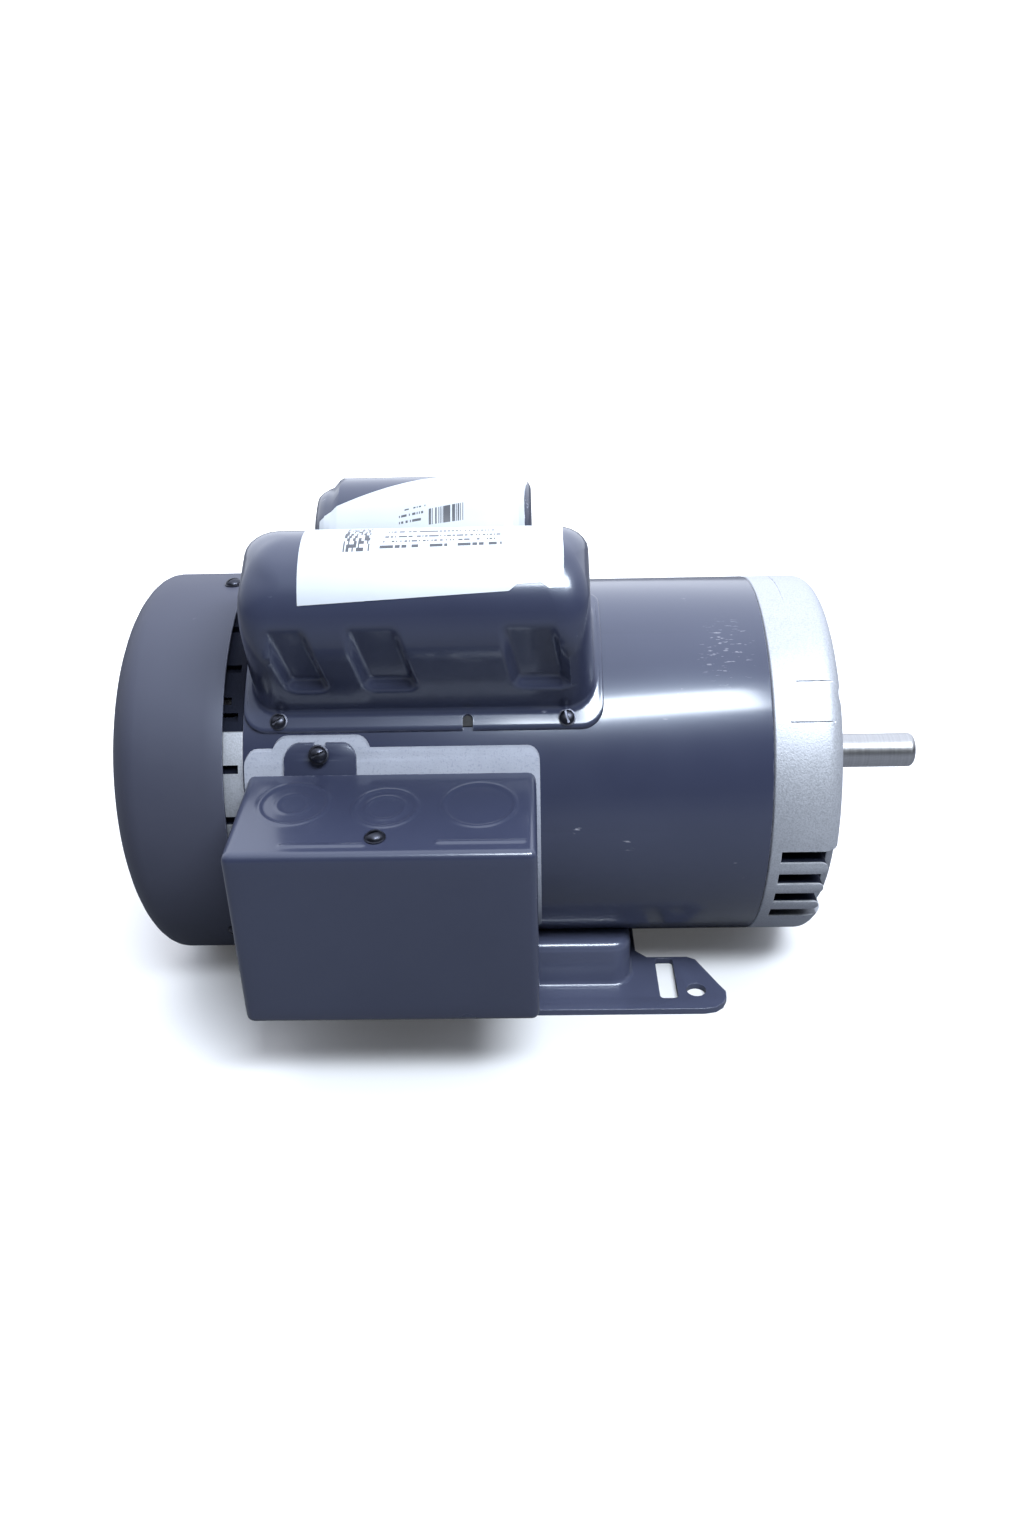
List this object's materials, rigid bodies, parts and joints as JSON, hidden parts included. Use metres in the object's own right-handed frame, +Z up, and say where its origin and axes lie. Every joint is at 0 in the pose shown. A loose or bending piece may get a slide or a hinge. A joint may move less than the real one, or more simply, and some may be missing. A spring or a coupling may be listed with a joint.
{
  "type": "electric motor",
  "caption": "Foot-mounted, fan-cooled single-phase electric motor with a C face, keyed shaft, conduit box and capacitor covers.",
  "frame": {"origin": "centre of the round foot-hole pattern, on the underside of the foot", "axes": "+X along the shaft towards the drive end, +Y away from the conduit box, +Z up through the shaft axis"},
  "size_m": [0.3586, 0.2207, 0.2162],
  "materials": {
    "enamel": "satin grey-blue baked enamel",
    "cast_aluminium": "die-cast, lightly grained",
    "rotor_aluminium": "as cast",
    "ground_steel": "ground and polished along its turn",
    "bearing_steel": "polished",
    "lamination_steel": "stacked laminations",
    "copper_wire": "varnished copper",
    "varnished_wire": "dark varnish",
    "black_plastic": "moulded, fine grain",
    "phenolic": "pressed board",
    "foam": "grey closed-cell foam",
    "seal_rubber": "matt",
    "label_stock": "coated white",
    "screw_steel": "dark painted screw steel",
    "zinc_steel": "zinc plated",
    "ground_green": "green plated",
    "brass_tab": "stamped",
    "lead_sleeve": "insulated wire",
    "capacitor_case": "moulded case",
    "capacitor_can": "drawn can"
  },
  "bodies": {
    "housing": {"stator_shell": "enamel", "stator_core": "lamination_steel", "main_winding": "copper_wire", "start_winding": "varnished_wire", "slot_wedges": "phenolic", "drive_end_bell": "cast_aluminium", "rear_end_bell": "cast_aluminium", "through_bolts": "zinc_steel", "shaft_seal": "seal_rubber", "drive_bearing_outer_race": "bearing_steel", "drive_bearing_shields": "zinc_steel", "rear_bearing_outer_race": "bearing_steel", "rear_bearing_shields": "zinc_steel", "bearing_wave_spring": "zinc_steel", "fan_cover": "enamel", "fan_cover_screws": "screw_steel", "switch_board": "phenolic", "switch_contacts": "brass_tab", "start_capacitor": "capacitor_case", "run_capacitor": "capacitor_can", "capacitor_tabs": "brass_tab", "near_capacitor_cover": "enamel", "far_capacitor_cover": "enamel", "capacitor_cover_gaskets": "seal_rubber", "capacitor_cover_screws": "screw_steel", "near_cover_label": "label_stock", "far_cover_label": "label_stock", "conduit_box_base": "enamel", "conduit_box_cover": "enamel", "conduit_box_gasket": "foam", "conduit_box_screws": "screw_steel", "terminal_board": "phenolic", "terminal_tabs": "brass_tab", "ground_screw": "ground_green", "lead_grommet": "seal_rubber", "motor_leads": "lead_sleeve", "mounting_base": "enamel"},
    "rotor": {"rotor_core": "lamination_steel", "rotor_cage": "rotor_aluminium", "shaft": "ground_steel", "drive_bearing_inner_race": "bearing_steel", "rear_bearing_inner_race": "bearing_steel", "cooling_fan": "black_plastic", "fan_clip": "zinc_steel", "governor_hub": "zinc_steel", "governor_springs": "zinc_steel"},
    "drive_ball_set": {"drive_bearing_balls": "bearing_steel", "drive_bearing_cage": "zinc_steel"},
    "rear_ball_set": {"rear_bearing_balls": "bearing_steel", "rear_bearing_cage": "zinc_steel"},
    "governor_collar": {"governor_collar": "phenolic"},
    "governor_weight_near": {"governor_weight_near": "zinc_steel"},
    "governor_weight_far": {"governor_weight_far": "zinc_steel"},
    "switch_arm": {"switch_arm": "black_plastic"}
  },
  "joints": [
    {"name": "rotor_spin", "type": "hinge", "parent": "housing", "child": "rotor", "pos_m": [0, 0, 0.0889], "axis": [1, 0, 0], "continuous": true},
    {"name": "drive_bearing_roll", "type": "hinge", "parent": "housing", "child": "drive_ball_set", "pos_m": [0, 0, 0.0889], "axis": [1, 0, 0], "continuous": true},
    {"name": "rear_bearing_roll", "type": "hinge", "parent": "housing", "child": "rear_ball_set", "pos_m": [0, 0, 0.0889], "axis": [1, 0, 0], "continuous": true},
    {"name": "governor_slide", "type": "slide", "parent": "rotor", "child": "governor_collar", "axis": [1, 0, 0], "range_m": [0, 0.003]},
    {"name": "near_weight_swing", "type": "hinge", "parent": "rotor", "child": "governor_weight_near", "pos_m": [-0.083, -0.0245, 0.0889], "axis": [0, 0, 1], "range_deg": [0, 10.01]},
    {"name": "far_weight_swing", "type": "hinge", "parent": "rotor", "child": "governor_weight_far", "pos_m": [-0.083, 0.0245, 0.0889], "axis": [0, 0, -1], "range_deg": [0, 10.01]},
    {"name": "switch_arm_swing", "type": "hinge", "parent": "housing", "child": "switch_arm", "pos_m": [-0.1029, 0, 0.1389], "axis": [0, -1, 0], "range_deg": [0, 5.92]}
  ],
  "couplings": [
    {"joint": "drive_bearing_roll", "follows": "rotor_spin", "ratio": 0.3969},
    {"joint": "rear_bearing_roll", "follows": "rotor_spin", "ratio": 0.3818},
    {"joint": "near_weight_swing", "follows": "governor_slide", "rad_per_m": 58.178},
    {"joint": "far_weight_swing", "follows": "governor_slide", "rad_per_m": 58.178},
    {"joint": "switch_arm_swing", "follows": "governor_slide", "rad_per_m": 34.361}
  ]
}
